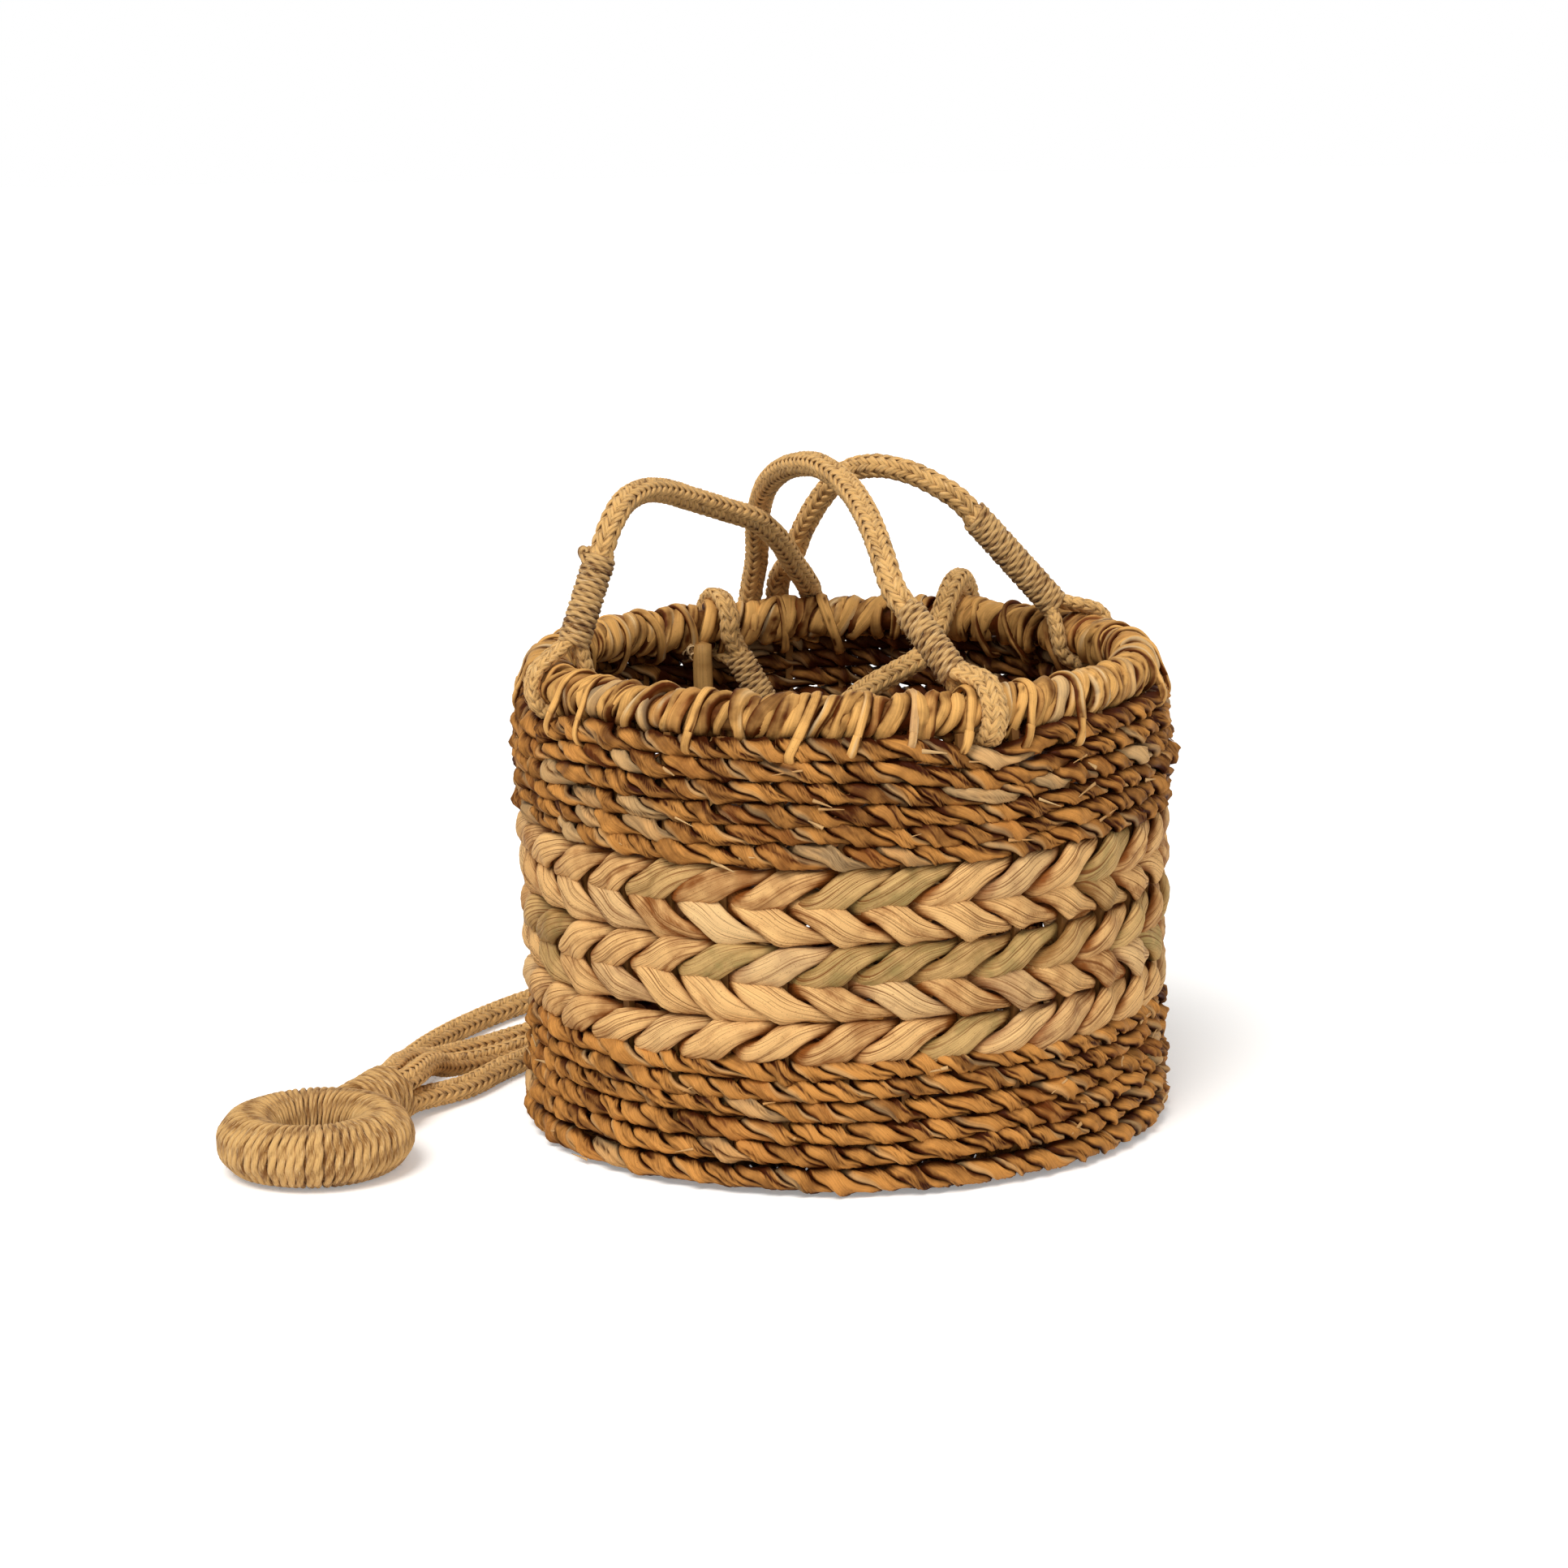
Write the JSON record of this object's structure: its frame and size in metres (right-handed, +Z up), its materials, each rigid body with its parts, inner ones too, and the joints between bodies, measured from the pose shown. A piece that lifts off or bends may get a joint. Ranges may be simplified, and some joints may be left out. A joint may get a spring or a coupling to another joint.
{
  "type": "hanging planter basket",
  "caption": "Round woven plant basket hung by braided jute ropes that run from eyes on its rim to a wrapped hanging ring.",
  "frame": {"origin": "centre of the basket's underside, on the floor that it stands on", "axes": "+Z up along the basket's axis, -Y towards the viewer of the picture, +X to the right; the hanging ring lies at -X"},
  "size_m": [0.3727, 0.3293, 0.2635],
  "materials": {
    "seagrass": "dry twisted leaf strands, caramel to golden brown, softly glossy, with dark gaps",
    "water_hyacinth": "dry flattened stems, pale tan with some olive and red-brown ones, fine fibre lines",
    "cane": "bare matte cane",
    "jute_rope": "braided jute, matte and slightly fuzzy",
    "jute_wrap": "jute yarn wrapped in close turns, matte",
    "whipping_twine": "twisted jute twine, matte"
  },
  "bodies": {
    "root": {"base_inner_weave": "seagrass", "base_under_weave": "seagrass", "foot_strand": "seagrass", "hanging_ring": "jute_wrap", "hyacinth_row_1_a": "water_hyacinth", "hyacinth_row_1_b": "water_hyacinth", "hyacinth_row_2_a": "water_hyacinth", "hyacinth_row_2_b": "water_hyacinth", "hyacinth_row_3_a": "water_hyacinth", "hyacinth_row_3_b": "water_hyacinth", "hyacinth_row_4_a": "water_hyacinth", "hyacinth_row_4_b": "water_hyacinth", "hyacinth_row_5_a": "water_hyacinth", "hyacinth_row_5_b": "water_hyacinth", "inner_cane": "cane", "lower_row_1_inner": "seagrass", "lower_row_1_outer": "seagrass", "lower_row_2_inner": "seagrass", "lower_row_2_outer": "seagrass", "lower_row_3_inner": "seagrass", "lower_row_3_outer": "seagrass", "lower_row_4_inner": "seagrass", "lower_row_4_outer": "seagrass", "lower_row_5_inner": "seagrass", "lower_row_5_outer": "seagrass", "rim_border": "seagrass", "ring_neck_binding": "jute_wrap", "rope_back": "jute_rope", "rope_front": "jute_rope", "rope_left": "jute_rope", "rope_right": "jute_rope", "stake_frame": "cane", "upper_row_1_inner": "seagrass", "upper_row_1_outer": "seagrass", "upper_row_2_inner": "seagrass", "upper_row_2_outer": "seagrass", "upper_row_3_inner": "seagrass", "upper_row_3_outer": "seagrass", "upper_row_4_inner": "seagrass", "upper_row_4_outer": "seagrass", "upper_row_5_inner": "seagrass", "upper_row_5_outer": "seagrass", "upper_row_6_inner": "seagrass", "upper_row_6_outer": "seagrass"},
    "eye_left": {"rope_eye_left": "jute_rope", "whipping_left": "whipping_twine"},
    "eye_front": {"rope_eye_front": "jute_rope", "whipping_front": "whipping_twine"},
    "eye_right": {"rope_eye_right": "jute_rope", "whipping_right": "whipping_twine"},
    "eye_back": {"rope_eye_back": "jute_rope", "whipping_back": "whipping_twine"}
  },
  "joints": [
    {"name": "eye_left_swing", "type": "hinge", "parent": "root", "child": "eye_left", "pos_m": [-0.10846, -0.03973, 0.1802], "axis": [-0.3439, 0.939, 0], "range_deg": [-45, 45], "deforming": ["rope_left"]},
    {"name": "eye_front_swing", "type": "hinge", "parent": "root", "child": "eye_front", "pos_m": [0.04957, -0.10433, 0.1802], "axis": [-0.9032, -0.4291, 0], "range_deg": [-45, 40], "deforming": ["rope_front"]},
    {"name": "eye_right_swing", "type": "hinge", "parent": "root", "child": "eye_right", "pos_m": [0.09931, 0.05898, 0.1802], "axis": [0.5106, -0.8598, 0], "range_deg": [-45, 40], "deforming": ["rope_right"]},
    {"name": "eye_back_swing", "type": "hinge", "parent": "root", "child": "eye_back", "pos_m": [-0.04957, 0.10433, 0.1802], "axis": [0.9032, 0.4291, 0], "range_deg": [-45, 0], "deforming": ["rope_back"]}
  ]
}
